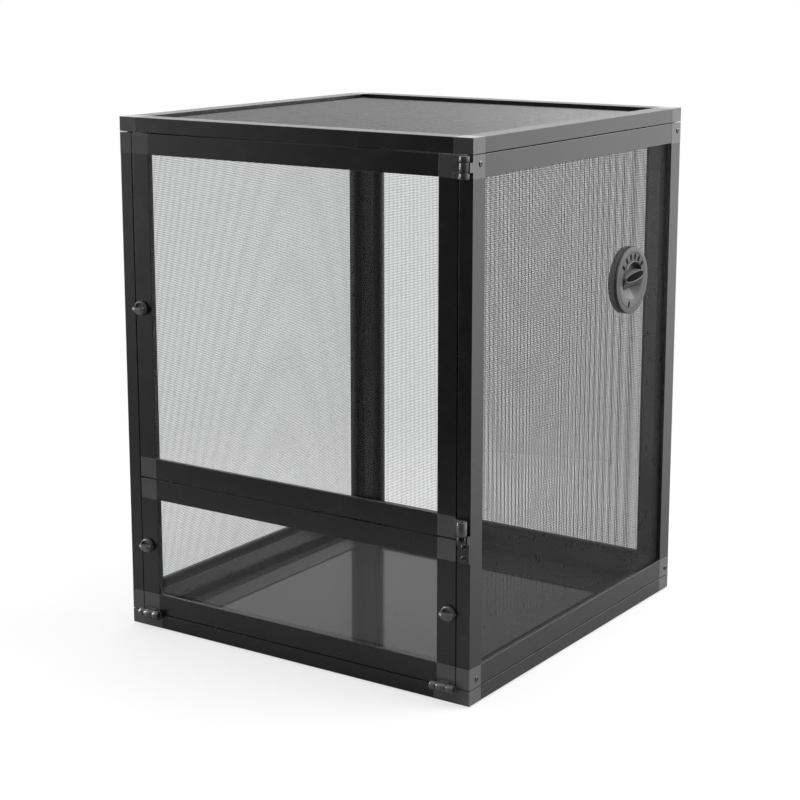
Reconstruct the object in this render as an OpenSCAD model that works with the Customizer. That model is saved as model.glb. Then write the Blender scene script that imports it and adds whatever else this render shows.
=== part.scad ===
// Mesh reptile cage: six framed panels, a side-hung upper door and a drop-down
// lower door, three turn latches and a rotary port in the right-hand net.
// Millimetres, +Z up, front towards -Y, origin at the bottom centre of the outer box.

/* [Cage] */
// Width of the cage body, left to right
cage_w = 400; // [320:1:600]
// Depth of the cage body, front to back
cage_d = 400; // [320:1:600]
// Height of the cage body without its feet
cage_h = 510; // [460:1:800]
// Height of the lower door's top edge above the cage's underside
door_split = 153.2; // [130:0.1:170]

/* [Frame profile] */
// Side of the hollow square part of the frame profile
box = 14; // [13:0.5:16]
// Width of the lip that holds a net, pane or sheet
lip_w = 6; // [4:0.5:10]
// Thickness of the lip
lip_t = 4; // [3:0.5:4.5]
// Wall of the hollow profile
wall = 1.2; // [0.8:0.1:2]
// Length of a corner connector's spigot inside a profile
spigot_l = 18; // [10:1:25]
// Gap left between the upright panels and the top and bottom panels
panel_gap = 0.8; // [0:0.1:1.5]
// Clearance between a spigot and the profile around it
spigot_clear = 0.15; // [0.05:0.05:0.3]
// Diameter of the pegs that join side panels to top and bottom
peg_d = 6; // [4:0.5:8]
// Length of those pegs
peg_l = 8; // [5:0.5:9]
// Radial clearance of a peg in its socket
peg_clear = 0.1; // [0.05:0.05:0.3]

/* [Infill] */
// Thickness of a net
net_t = 0.8; // [0.4:0.1:1.2]
// Width of a net strand
net_strand = 2.4; // [1:0.1:4]
// Nominal distance between strands of a net
net_pitch = 44; // [30:1:60]
// Thickness of the clear door panes
pane_t = 2; // [1:0.5:3]
// Thickness of the floor sheet
floor_t = 2; // [1:0.5:3]
// Gap between an infill's edge and the profile around it
infill_gap = 0.4; // [0.2:0.1:1]
// Width of the foot of a net's or the floor's retaining strip
strip_w = 5; // [3:0.1:5.4]
// Thickness of that strip's leaf along the profile's side
strip_leaf_t = 0.8; // [0.5:0.1:1.5]
// Width of a pane's seal strip
seal_w = 2.6; // [2:0.1:3.2]
// Height of a retaining strip's foot and of a seal strip
spline_h = 2.4; // [1.5:0.1:3]

/* [Doors] */
// Gap between a door and the frame beside it
door_gap = 1; // [0.5:0.1:2]
// Least clearance between the two doors while the lower one drops
swing_clear = 0.4; // [0.3:0.1:1]

/* [Door hinges] */
// Diameter of a hinge knuckle on the upper door
knuckle_d = 9.4; // [8:0.2:11]
// Clearance between a knuckle and the frame's front face
knuckle_clear = 0.3; // [0.2:0.05:0.6]
// Distance of the upper door's hinge axis from the cage's right side
hinge_inset = 5.8; // [5.8:0.1:7]
// Diameter of a hinge pin
pin_d = 4; // [3:0.1:5]
// Radial clearance of a pin in a knuckle
pin_clear = 0.05; // [0.01:0.01:0.1]
// Gap between two knuckles along the axis
knuckle_gap = 0.4; // [0.2:0.1:0.8]
// How far a pin's end lies inside its knuckle
pin_recess = 0.8; // [0.4:0.1:2]
// Distance of the top hinge's upper end below the door's top edge
hinge_drop = 0; // [0:0.1:3.6]
// Height of each of the door's two knuckles at the top hinge
top_knuckle_h = 5.3; // [4:0.1:6]
// Height of the fixed knuckle at the top hinge
top_fixed_h = 8.6; // [6:0.1:9]
// Height of the door's knuckle at the bottom hinge
low_knuckle_h = 13; // [10:0.5:15]
// Height of the fixed knuckle at the bottom hinge
low_fixed_h = 7; // [5:0.5:8]
// Width of the lug that joins a knuckle to the door
lug_w = 3; // [2:0.5:5]
// Thickness of the web behind a knuckle
web_t = 3.4; // [2:0.2:4]
// Height of the screwed leaf of the bottom hinge bracket
leaf_h = 19; // [16:0.5:24]
// Thickness of that leaf
leaf_t = 2; // [1.5:0.1:3]

/* [Hatch hinges] */
// Diameter of a knuckle on the lower door's hinges
hatch_knuckle_d = 8.4; // [7:0.2:10]
// Length of a hatch hinge along its axis
hatch_hinge_l = 24.5; // [20:0.5:30]
// Distance of a hatch hinge's outer end from the cage's side
hatch_hinge_inset = 13.5; // [12:0.5:16]
// Length of the door's knuckle in the middle
hatch_mid_l = 10.5; // [8:0.5:12]

/* [Latches] */
// Diameter of a latch knob
knob_d = 14; // [12:0.5:16]
// Thickness of a latch knob's disc
knob_t = 3.6; // [2:0.2:5]
// Width of a latch knob's grip bar
grip_w = 4; // [3:0.5:6]
// Height of the grip bar above the disc
grip_h = 3.6; // [2:0.2:6]
// Gap between the knob and the door
knob_gap = 0.3; // [0.2:0.1:0.6]
// How far a knob's pointer stands out of its disc
pointer_l = 1; // [0.5:0.1:1.5]
// Diameter of the latch shaft
shaft_d = 6; // [5.5:0.5:8]
// Diameter of the shaft's end inside the cam
cam_seat_d = 4; // [3.5:0.1:5]
// Diameter of the screw that holds the cam
cam_screw_d = 2; // [1.5:0.1:2.5]
// Length of that screw under its head
cam_screw_l = 6; // [4:0.5:10]
// Radial clearance of the shaft in the door
shaft_clear = 0.08; // [0.02:0.01:0.1]
// Reach of a cam from the shaft's axis
cam_l = 12.4; // [11.5:0.1:12.6]
// Width of a cam
cam_w = 9; // [8:0.5:11]
// Radius of a cam's two outer corners
cam_round = 2.2; // [1:0.1:3.5]
// Thickness of a cam
cam_t = 2; // [1:0.1:2.2]
// Gap between a cam and the frame it locks behind
cam_gap = 0.4; // [0.2:0.1:0.8]

/* [Port] */
// Distance of the port's centre from the cage's back
port_from_back = 95; // [65:1:320]
// Height of the port's centre above the cage's underside
port_z = 345; // [120:1:400]
// Outer diameter of the port's bezel and clamp ring
port_d = 67; // [60:0.5:80]
// Thickness of the bezel's plate on the net
bezel_t = 1.8; // [1.5:0.1:4]
// Width of the rim that holds the net, from the collar to the bezel's edge
port_rim_w = 5; // [3:0.5:8]
// Wall of the collar through the net
collar_wall = 3.9; // [2:0.1:6]
// Thickness of the clamp ring behind the net
clamp_t = 7; // [5:0.1:8]
// Thickness of the clamp ring's rear lip under the dial
clamp_lip_t = 1.2; // [0.8:0.1:1.6]
// Width of that lip, measured from the dial's flange
clamp_lip_w = 4; // [2:0.1:6]
// Width of the dial's flange that the bezel's lip covers
flange_w = 4.5; // [3:0.1:6]
// Radial clearance of the dial in the bezel
dial_clear = 0.1; // [0.05:0.05:0.1]
// Height of the dial's crown above the bezel
dial_crown = 4.2; // [3:0.1:9]
// Radius of the dial's rounded edge
dial_round = 1.5; // [0.5:0.1:2.5]
// Width of the dial's grip
dial_grip_w = 7.5; // [6:0.5:10]
// How far the grip lies above the dial's centre
grip_rise = 4.5; // [0:0.1:6]
// Turn of the grip at rest, with its rear end up
grip_turn = 5; // [0:1:30]
// Radius of the finger scoops on both sides of the grip
scoop_r = 11; // [7:0.5:12]
// Depth of the finger scoops below the crown
scoop_depth = 3.6; // [2:0.1:4]
// Number of marks in the bezel's scale
mark_count = 6; // [4:1:8]
// Angle of the first mark, from straight down towards the back
mark_start = 127; // [120:1:140]
// Angle between two marks
mark_step = 21; // [18:1:28]
// Angle of the single mark near the bottom
low_mark = -15; // [-30:1:30]
// Length of a mark
mark_l = 5; // [3:0.1:6]
// Width of a mark
mark_w = 2.4; // [1.5:0.1:3]
// Depth of a mark
mark_depth = 1; // [0.5:0.1:1.2]

/* [Screws and feet] */
// Diameter of a panel screw's head
screw_head_d = 5.4; // [4:0.1:6]
// Height of a screw head
screw_head_h = 1; // [0.6:0.1:1.6]
// Diameter of a screw's shank
screw_d = 2.6; // [2:0.1:3]
// Clearance around a screw's shank
screw_clear = 0.1; // [0.05:0.05:0.2]
// Distance of the front panel screws from the cage's front
screw_from_front = 12; // [9:0.5:14]
// Distance of the rear panel screws from the cage's back
screw_from_back = 7; // [5:0.5:9]
// Distance of a panel screw from the side panel's end
screw_from_end = 8; // [7:0.5:9]
// Length of a panel screw's shank at the back
back_screw_l = 20; // [18:0.5:24]
// Length of a panel screw's shank at the front
front_screw_l = 11; // [8:0.5:12]
// Distance between the two screws of the hinge bracket
bracket_screw_gap = 10; // [8:0.5:11]
// Diameter of a foot pad
foot_d = 16; // [12:0.5:20]
// Thickness of a foot pad
foot_h = 1.5; // [1:0.1:4]
// Distance of a foot's centre from the cage's sides
foot_inset = 15; // [12:0.5:20]

/* [Hidden] */
$fn = 20;
eps = 0.01;
frame_color = "#1c1c1e";
corner_color = "#3c3c3f";
hinge_color = "#202022";
net_color = "#2b2b2d";
screw_color = "#8a8a8c";
rubber_color = "#262626";
pane_color = "#dfe6e8";
floor_color = "#4a4b4d";

// Face width of the profile, and the size of the panels made of it
face_w = box + lip_w;
panel_z = box + panel_gap;
panel_h = cage_h - 2 * panel_z;
back_w = cage_w - 2 * box;
door_w = back_w - 2 * door_gap;
side_x = cage_w / 2;
front_y = -cage_d / 2;

// Hinge axes, in the cage's own coordinates
hinge_x = side_x - hinge_inset;
hinge_y = front_y - knuckle_d / 2 - knuckle_clear;
hatch_y = front_y - hatch_knuckle_d / 2 - knuckle_clear;
hatch_z = box + door_gap / 2;

// Door heights; the split opens enough for the lower door's rising back edge
lower_z0 = box + door_gap;
lower_h = door_split - lower_z0;
drop_depth = front_y + box - hatch_y;
drop_reach = door_split - hatch_z;
split_gap = norm([drop_depth, drop_reach]) - drop_reach + swing_clear;
upper_z0 = door_split + split_gap;
upper_z1 = cage_h - box - door_gap;
upper_h = upper_z1 - upper_z0;

// Latch axes
latch_x = side_x - box - door_gap - box / 2;
upper_latch_z = upper_z0 + upper_h / 2;
lower_latch_z = lower_z0 + lower_h / 2;
cam_y = front_y + box + cam_gap;

// Bottom hinge bracket and top hinge heights
low_fixed_z = door_split - knuckle_gap;
low_knuckle_z = low_fixed_z + low_fixed_h + knuckle_gap;
top_hinge_l = 2 * top_knuckle_h + top_fixed_h + 2 * knuckle_gap;
top_hinge_z = upper_z1 - hinge_drop - top_hinge_l;
top_fixed_z = top_hinge_z + top_knuckle_h + knuckle_gap;
top_upper_z = top_fixed_z + top_fixed_h + knuckle_gap;

// Hatch hinge: fixed knuckles on both sides of the door's knuckle
hatch_x1 = side_x - hatch_hinge_inset;
hatch_x0 = hatch_x1 - hatch_hinge_l;
hatch_mid_x = (hatch_x0 + hatch_x1 - hatch_mid_l) / 2;
front_arm = hatch_hinge_inset + hatch_hinge_l;

// Port layers, measured along X from the cage's middle
port_y = -front_y - port_from_back;
net_x = side_x - lip_t;
bezel_x = net_x + bezel_t;
clamp_x = net_x - net_t - clamp_t;
collar_l = net_x - clamp_x - clamp_lip_t;
dial_top_x = bezel_x + dial_crown;

// Port diameters, each set inside the one before
collar_d = port_d - 2 * port_rim_w;
dial_flange_d = collar_d - 2 * collar_wall - 2 * dial_clear;
dial_d = dial_flange_d - 2 * flange_w;
clamp_bore_d = dial_flange_d - 2 * clamp_lip_w;

// The outer box reaches past the body at the front and on both sides
front_reach = max(knuckle_d + knuckle_clear, hatch_knuckle_d + knuckle_clear,
                  knob_gap + knob_t + grip_h);
right_reach = max(dial_top_x - side_x, screw_head_h);
left_reach = screw_head_h;

// Placing: the cage stands on its feet with its outer box centred on the origin
module in_cage() {
    translate([(left_reach - right_reach) / 2, front_reach / 2, foot_h]) children();
}

// A panel lies in X and Y with its outer face at Z = 0 and its inside at +Z
module at_top() {
    in_cage() translate([-side_x, front_y, cage_h]) mirror([0, 0, 1]) children();
}
module at_bottom() {
    in_cage() translate([-side_x, front_y, 0]) children();
}
module at_left() {
    in_cage() translate([-side_x, front_y, panel_z]) rotate([90, 0, 90]) children();
}
module at_right() {
    in_cage() mirror([1, 0, 0])
        translate([-side_x, front_y, panel_z]) rotate([90, 0, 90]) children();
}
module at_back() {
    in_cage() translate([-back_w / 2, -front_y, panel_z]) rotate([90, 0, 0]) children();
}
module at_front(z) {
    in_cage() translate([-door_w / 2, front_y, z]) mirror([0, 1, 0]) rotate([90, 0, 0]) children();
}

// Frame pieces of one panel of size w by h
module profile() {
    difference() {
        union() {
            square(box);
            square([face_w, lip_t]);
        }
        translate([wall, wall]) square(box - 2 * wall);
    }
}
module rail(length) {
    rotate([90, 0, 90]) linear_extrude(length) profile();
}
module rails(w, h, near_arm = face_w) {
    translate([near_arm, 0, 0]) rail(w - 2 * near_arm);
    translate([face_w, h, 0]) mirror([0, 1, 0]) rail(w - 2 * face_w);
}
module stile(length) {
    translate([0, length, 0]) rotate([90, 0, 0]) linear_extrude(length) profile();
}
module stiles(w, h) {
    for (far = [0, 1])
        translate([far * w, face_w, 0]) mirror([far, 0, 0]) stile(h - 2 * face_w);
}
module connector(arm = face_w) {
    spigot = box - 2 * wall - 2 * spigot_clear;
    inset = wall + spigot_clear;
    cube([arm, box, box]);
    cube([box, face_w, box]);
    cube([arm, face_w, lip_t]);
    translate([arm - eps, inset, inset]) cube([spigot_l + eps, spigot, spigot]);
    translate([inset, face_w - eps, inset]) cube([spigot, spigot_l + eps, spigot]);
}
module each_corner(w, h) {
    for (far = [0, 1], high = [0, 1])
        translate([far * w, high * h, 0]) mirror([far, 0, 0]) mirror([0, high, 0]) children();
}
module connectors(w, h, near_arm = face_w) {
    for (far = [0, 1], high = [0, 1])
        translate([far * w, high * h, 0]) mirror([far, 0, 0]) mirror([0, high, 0])
            connector(high == 0 ? near_arm : face_w);
}

// A side panel's connectors have pegs at both ends and screws through their faces
module side_connectors() {
    difference() {
        union() {
            connectors(cage_d, panel_h);
            each_corner(cage_d, panel_h)
                translate([box / 2, eps, box / 2]) rotate([90, 0, 0])
                    cylinder(d = peg_d, h = peg_l + eps);
        }
        for (back = [0, 1], high = [0, 1])
            translate([back ? cage_d - screw_from_back : screw_from_front,
                       high ? panel_h - screw_from_end : screw_from_end, -eps])
                cylinder(d = screw_d + 2 * screw_clear, h = box + 2 * eps);
    }
}
// The pegs stand on the bottoms of their sockets, which keeps the panel gap open
module peg_sockets() {
    depth = peg_l - panel_gap;
    each_corner(cage_w, cage_d)
        translate([box / 2, box / 2, box - depth])
            cylinder(d = peg_d + 2 * peg_clear, h = depth + eps);
}

// Infill of a panel: it lies on the lip, and a strip holds it along its four edges
module infill(w, h, thickness) {
    margin = box + infill_gap;
    translate([margin, margin, lip_t]) cube([w - 2 * margin, h - 2 * margin, thickness]);
}
module net_flat(w, h) {
    across = floor((w - net_strand) / net_pitch);
    up = floor((h - net_strand) / net_pitch);
    step_x = (w - net_strand) / across;
    step_y = (h - net_strand) / up;
    difference() {
        square([w, h]);
        for (i = [0 : across - 1], j = [0 : up - 1])
            translate([net_strand + i * step_x, net_strand + j * step_y])
                square([step_x - net_strand, step_y - net_strand]);
    }
}
module net(w, h) {
    margin = box + infill_gap;
    translate([margin, margin, lip_t])
        linear_extrude(net_t) net_flat(w - 2 * margin, h - 2 * margin);
}
module edge_ring(w, h, width) {
    near = box + infill_gap;
    far = near + width;
    difference() {
        translate([near, near]) square([w - 2 * near, h - 2 * near]);
        translate([far, far]) square([w - 2 * far, h - 2 * far]);
    }
}
module seal(w, h) {
    translate([0, 0, lip_t + pane_t]) linear_extrude(spline_h) edge_ring(w, h, seal_w);
}
// The retaining strip is an L: a foot on the infill and a leaf up the profile's side.
// The first edge has no leaf where a latch's cam turns in behind the profile.
module strip(w, h, above, first_leaf = true) {
    translate([0, 0, above]) {
        linear_extrude(spline_h) edge_ring(w, h, strip_w);
        linear_extrude(box - above) difference() {
            edge_ring(w, h, strip_leaf_t);
            if (!first_leaf) square([box + infill_gap + strip_leaf_t, h]);
        }
    }
}

// Top panel
module top_rails() {
    color(frame_color) at_top() rails(cage_w, cage_d);
}
module top_stiles() {
    color(frame_color) at_top() stiles(cage_w, cage_d);
}
module top_corners() {
    color(corner_color) at_top() difference() {
        connectors(cage_w, cage_d);
        peg_sockets();
    }
}
module top_net() {
    color(net_color) at_top() net(cage_w, cage_d);
}
module top_spline() {
    color(rubber_color) at_top() strip(cage_w, cage_d, lip_t + net_t);
}

// Bottom panel: its front connectors carry the hatch hinges' fixed knuckles
module bottom_rails() {
    color(frame_color) at_bottom() rails(cage_w, cage_d, front_arm);
}
module bottom_stiles() {
    color(frame_color) at_bottom() stiles(cage_w, cage_d);
}
module hatch_knuckle(x, length, below) {
    translate([x, hatch_y, hatch_z]) rotate([0, 90, 0]) cylinder(d = hatch_knuckle_d, h = length);
    drop = below ? -hatch_knuckle_d / 2 : door_gap / 2;
    translate([x, hatch_y, hatch_z + drop])
        cube([length, front_y - hatch_y + eps, hatch_knuckle_d / 2 - door_gap / 2]);
}
module hatch_bore(x, length) {
    translate([x - eps, hatch_y, hatch_z]) rotate([0, 90, 0])
        cylinder(d = pin_d + 2 * pin_clear, h = length + 2 * eps);
}
module hatch_fixed_knuckles() {
    inner_l = hatch_mid_x - knuckle_gap - hatch_x0;
    outer_x = hatch_mid_x + hatch_mid_l + knuckle_gap;
    difference() {
        union() {
            hatch_knuckle(hatch_x0, inner_l, true);
            hatch_knuckle(outer_x, hatch_x1 - outer_x, true);
        }
        hatch_bore(hatch_x0, hatch_hinge_l);
    }
}
module bottom_corners() {
    color(corner_color) {
        at_bottom() difference() {
            connectors(cage_w, cage_d, front_arm);
            peg_sockets();
        }
        in_cage() for (side = [0, 1]) mirror([side, 0, 0]) hatch_fixed_knuckles();
    }
}
module floor_sheet() {
    color(floor_color) at_bottom() infill(cage_w, cage_d, floor_t);
}
module floor_spline() {
    color(rubber_color) at_bottom() strip(cage_w, cage_d, lip_t + floor_t);
}

// Left panel
module left_rails() {
    color(frame_color) at_left() rails(cage_d, panel_h);
}
module left_stiles() {
    color(frame_color) at_left() stiles(cage_d, panel_h);
}
module left_corners() {
    color(corner_color) at_left() side_connectors();
}
module left_net() {
    color(net_color) at_left() net(cage_d, panel_h);
}
module left_spline() {
    color(rubber_color) at_left() strip(cage_d, panel_h, lip_t + net_t, false);
}

// Right panel: its front stile carries the hinge bracket, its net the port
module right_rails() {
    color(frame_color) at_right() rails(cage_d, panel_h);
}
module bracket_screw_places() {
    for (i = [-0.5, 0.5])
        in_cage() translate([hinge_x, front_y, low_fixed_z - leaf_h / 2 + i * bracket_screw_gap])
            rotate([-90, 0, 0]) children();
}
module right_stiles() {
    color(frame_color) difference() {
        at_right() stiles(cage_d, panel_h);
        bracket_screw_places() translate([0, 0, -eps])
            cylinder(d = screw_d + 2 * screw_clear, h = wall + 2 * eps);
    }
}
module door_bore(z, length) {
    translate([hinge_x, hinge_y, z - eps])
        cylinder(d = pin_d + 2 * pin_clear, h = length + 2 * eps);
}
module fixed_knuckle(z, length) {
    translate([hinge_x, hinge_y, z]) cylinder(d = knuckle_d, h = length);
    translate([hinge_x, hinge_y, z]) cube([hinge_inset, front_y - hinge_y + eps, length]);
}
module right_corners() {
    color(corner_color) {
        at_right() side_connectors();
        in_cage() difference() {
            fixed_knuckle(top_fixed_z, top_fixed_h);
            door_bore(top_fixed_z, top_fixed_h);
        }
    }
}
module right_net() {
    color(net_color) difference() {
        at_right() net(cage_d, panel_h);
        at_port(clamp_x) cylinder(d = collar_d + 2 * infill_gap, h = lip_t + clamp_t);
    }
}
module right_spline() {
    color(rubber_color) at_right() strip(cage_d, panel_h, lip_t + net_t, false);
}

// Back panel: the side panels' rear screws end in its connectors
module back_rails() {
    color(frame_color) at_back() rails(back_w, panel_h);
}
module back_stiles() {
    color(frame_color) at_back() stiles(back_w, panel_h);
}
module back_corners() {
    color(corner_color) difference() {
        at_back() connectors(back_w, panel_h);
        panel_screw_shanks(screw_clear);
    }
}
module back_net() {
    color(net_color) at_back() net(back_w, panel_h);
}
module back_spline() {
    color(rubber_color) at_back() strip(back_w, panel_h, lip_t + net_t);
}

// A latch shaft's hole through a door stile
module latch_hole(x, z) {
    in_cage() translate([x, front_y - eps, z]) rotate([-90, 0, 0])
        cylinder(d = shaft_d + 2 * shaft_clear, h = box + 2 * eps);
}

// Upper door: hung on two hinges at its right edge
module door_knuckle(z, length) {
    lug_x = door_w / 2 - lug_w;
    translate([hinge_x, hinge_y, z]) cylinder(d = knuckle_d, h = length);
    translate([lug_x, front_y - knuckle_clear - web_t, z])
        cube([hinge_x - lug_x, web_t, length]);
    translate([lug_x, front_y - knuckle_clear - web_t, z])
        cube([lug_w, web_t + knuckle_clear + eps, length]);
}
module upper_door_rails() {
    color(frame_color) at_front(upper_z0) rails(door_w, upper_h);
}
module upper_door_stiles() {
    color(frame_color) difference() {
        at_front(upper_z0) stiles(door_w, upper_h);
        latch_hole(-latch_x, upper_latch_z);
    }
}
module upper_door_corners() {
    color(corner_color) {
        at_front(upper_z0) connectors(door_w, upper_h);
        in_cage() difference() {
            union() {
                door_knuckle(low_knuckle_z, low_knuckle_h);
                door_knuckle(top_hinge_z, top_knuckle_h);
                door_knuckle(top_upper_z, top_knuckle_h);
            }
            door_bore(low_knuckle_z, low_knuckle_h);
            door_bore(top_hinge_z, top_hinge_l);
        }
    }
}
module upper_door_pane() {
    color(pane_color, 0.3) at_front(upper_z0) infill(door_w, upper_h, pane_t);
}
module upper_door_seal() {
    color(rubber_color) at_front(upper_z0) seal(door_w, upper_h);
}

// Lower door: drops forward on two hinges at its bottom edge
module lower_door_rails() {
    color(frame_color) at_front(lower_z0) rails(door_w, lower_h);
}
module lower_door_stiles() {
    color(frame_color) difference() {
        at_front(lower_z0) stiles(door_w, lower_h);
        latch_hole(-latch_x, lower_latch_z);
        latch_hole(latch_x, lower_latch_z);
    }
}
module lower_door_corners() {
    color(corner_color) {
        at_front(lower_z0) connectors(door_w, lower_h);
        in_cage() for (side = [0, 1]) mirror([side, 0, 0]) difference() {
            hatch_knuckle(hatch_mid_x, hatch_mid_l, false);
            hatch_bore(hatch_mid_x, hatch_mid_l);
        }
    }
}
module lower_door_pane() {
    color(pane_color, 0.3) at_front(lower_z0) infill(door_w, lower_h, pane_t);
}
module lower_door_seal() {
    color(rubber_color) at_front(lower_z0) seal(door_w, lower_h);
}

// Hinge hardware
module hinge_bracket() {
    leaf_x = side_x - 2 * hinge_inset;
    color(hinge_color) difference() {
        in_cage() {
            fixed_knuckle(low_fixed_z, low_fixed_h);
            translate([leaf_x, front_y - leaf_t, low_fixed_z - leaf_h])
                cube([2 * hinge_inset, leaf_t, leaf_h + low_fixed_h]);
        }
        in_cage() door_bore(low_fixed_z, low_fixed_h);
        bracket_screw_places() translate([0, 0, -leaf_t - eps])
            cylinder(d = screw_d + 2 * screw_clear, h = leaf_t + 2 * eps);
    }
}
module hinge_bracket_screws() {
    color(screw_color) bracket_screw_places() {
        translate([0, 0, -leaf_t - screw_head_h]) cylinder(d = screw_head_d, h = screw_head_h);
        translate([0, 0, -leaf_t - eps]) cylinder(d = screw_d, h = leaf_t + box / 2);
    }
}
module door_hinge_pins() {
    low_l = low_fixed_h + knuckle_gap + low_knuckle_h;
    color(screw_color) in_cage() {
        translate([hinge_x, hinge_y, low_fixed_z + pin_recess])
            cylinder(d = pin_d, h = low_l - 2 * pin_recess);
        translate([hinge_x, hinge_y, top_hinge_z + pin_recess])
            cylinder(d = pin_d, h = top_hinge_l - 2 * pin_recess);
    }
}
module hatch_hinge_pins() {
    color(screw_color) in_cage() for (side = [0, 1]) mirror([side, 0, 0])
        translate([hatch_x0 + pin_recess, hatch_y, hatch_z]) rotate([0, 90, 0])
            cylinder(d = pin_d, h = hatch_hinge_l - 2 * pin_recess);
}

// Turn latches: knob and shaft in front, cam and screw behind; the cam points up
module at_latch(x, z) {
    in_cage() translate([x, front_y, z]) rotate([-90, 0, 0]) children();
}
module knob(pointer) {
    shaft_l = box + cam_gap;
    difference() {
        union() {
            translate([0, 0, -knob_gap - knob_t]) cylinder(d = knob_d, h = knob_t);
            translate([0, 0, -knob_gap - knob_t - grip_h]) intersection() {
                translate([-knob_d / 2, -grip_w / 2, 0]) cube([knob_d, grip_w, grip_h + eps]);
                cylinder(d = knob_d, h = grip_h + eps);
            }
            rotate(pointer > 0 ? 0 : 180) translate([0, -grip_w / 4, -knob_gap - knob_t])
                cube([knob_d / 2 + pointer_l, grip_w / 2, knob_t]);
            translate([0, 0, -knob_gap - eps]) cylinder(d = shaft_d, h = shaft_l + knob_gap + eps);
            translate([0, 0, shaft_l - eps]) cylinder(d = cam_seat_d, h = cam_t + eps);
        }
        translate([0, 0, shaft_l + cam_t - cam_screw_l - screw_clear])
            cylinder(d = cam_screw_d + 2 * screw_clear, h = cam_screw_l + screw_clear + eps);
    }
}
module cam() {
    straight = cam_l - cam_round;
    translate([0, 0, box + cam_gap]) linear_extrude(cam_t) difference() {
        union() {
            circle(d = cam_w);
            translate([-cam_w / 2, -straight]) square([cam_w, straight]);
            translate([cam_round - cam_w / 2, -cam_l]) square([cam_w - 2 * cam_round, cam_l]);
            for (x = [-1, 1]) translate([x * (cam_w / 2 - cam_round), -straight]) circle(cam_round);
        }
        circle(d = cam_seat_d + 2 * screw_clear);
    }
}
module cam_screw() {
    seat = box + cam_gap + cam_t;
    translate([0, 0, seat]) cylinder(d = screw_head_d, h = screw_head_h);
    translate([0, 0, seat - cam_screw_l]) cylinder(d = cam_screw_d, h = cam_screw_l + eps);
}
module upper_knob() {
    color(hinge_color) at_latch(-latch_x, upper_latch_z) knob(-1);
}
module upper_cam() {
    color(hinge_color) at_latch(-latch_x, upper_latch_z) cam();
}
module upper_cam_screw() {
    color(screw_color) at_latch(-latch_x, upper_latch_z) cam_screw();
}
module lower_left_knob() {
    color(hinge_color) at_latch(-latch_x, lower_latch_z) knob(-1);
}
module lower_left_cam() {
    color(hinge_color) at_latch(-latch_x, lower_latch_z) cam();
}
module lower_left_cam_screw() {
    color(screw_color) at_latch(-latch_x, lower_latch_z) cam_screw();
}
module lower_right_knob() {
    color(hinge_color) at_latch(latch_x, lower_latch_z) knob(1);
}
module lower_right_cam() {
    color(hinge_color) at_latch(latch_x, lower_latch_z) cam();
}
module lower_right_cam_screw() {
    color(screw_color) at_latch(latch_x, lower_latch_z) cam_screw();
}

// Rotary port: bezel outside the net, clamp ring inside, dial held between them
module at_port(x) {
    in_cage() translate([x, port_y, port_z]) rotate([0, 90, 0]) children();
}
module mark(turn) {
    middle = (dial_d + port_d) / 4;
    rotate(turn) translate([middle - mark_l, -mark_w / 2, bezel_t - mark_depth])
        cube([mark_l, mark_w, mark_depth + eps]);
}
module port_bezel() {
    color(corner_color) at_port(net_x) difference() {
        union() {
            cylinder(d = port_d, h = bezel_t);
            translate([0, 0, -collar_l]) cylinder(d = collar_d, h = collar_l + eps);
        }
        translate([0, 0, -collar_l - eps])
            cylinder(d = dial_flange_d + 2 * dial_clear, h = collar_l + eps);
        translate([0, 0, -eps]) cylinder(d = dial_d + 2 * dial_clear, h = bezel_t + 2 * eps);
        for (i = [0 : mark_count - 1]) mark(mark_start + i * mark_step);
        mark(low_mark);
    }
}
module port_clamp_ring() {
    color(corner_color) at_port(clamp_x) difference() {
        cylinder(d = port_d, h = clamp_t);
        translate([0, 0, clamp_lip_t]) cylinder(d = collar_d + 2 * peg_clear, h = clamp_t);
        translate([0, 0, -eps]) cylinder(d = clamp_bore_d, h = clamp_t);
    }
}
module port_dial() {
    seat = dial_clear - collar_l;
    color(corner_color) at_port(net_x) difference() {
        rotate_extrude() {
            translate([0, seat]) square([dial_flange_d / 2, -dial_clear - seat]);
            translate([0, seat]) square([dial_d / 2, bezel_t + dial_crown - dial_round - seat]);
            translate([0, seat]) square([dial_d / 2 - dial_round, bezel_t + dial_crown - seat]);
            translate([dial_d / 2 - dial_round, bezel_t + dial_crown - dial_round]) circle(dial_round);
        }
        for (side = [-1, 1])
            rotate(grip_turn)
                translate([side * (dial_grip_w / 2 + scoop_r) - grip_rise, -dial_d / 2,
                           bezel_t + dial_crown - scoop_depth + scoop_r])
                    rotate([-90, 0, 0]) cylinder(r = scoop_r, h = dial_d);
    }
}

// Screws through the side panels' connectors, short at the front
module at_panel_screws() {
    for (side = [0, 1], back = [0, 1], high = [0, 1])
        in_cage() mirror([side, 0, 0])
            translate([-side_x, back ? -front_y - screw_from_back : front_y + screw_from_front,
                       panel_z + (high ? panel_h - screw_from_end : screw_from_end)])
                rotate([0, 90, 0]) {
                    $back = back;
                    children();
                }
}
module panel_screw_shanks(clear) {
    at_panel_screws() translate([0, 0, -eps])
        cylinder(d = screw_d + 2 * clear, h = ($back ? back_screw_l : front_screw_l) + clear + eps);
}
module panel_screws() {
    color(screw_color) {
        at_panel_screws() translate([0, 0, -screw_head_h]) cylinder(d = screw_head_d, h = screw_head_h);
        panel_screw_shanks(0);
    }
}

// Foot pads under the bottom panel's corners
module feet() {
    color(rubber_color) at_bottom() each_corner(cage_w, cage_d)
        translate([foot_inset, foot_inset, -foot_h]) cylinder(d = foot_d, h = foot_h);
}

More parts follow.
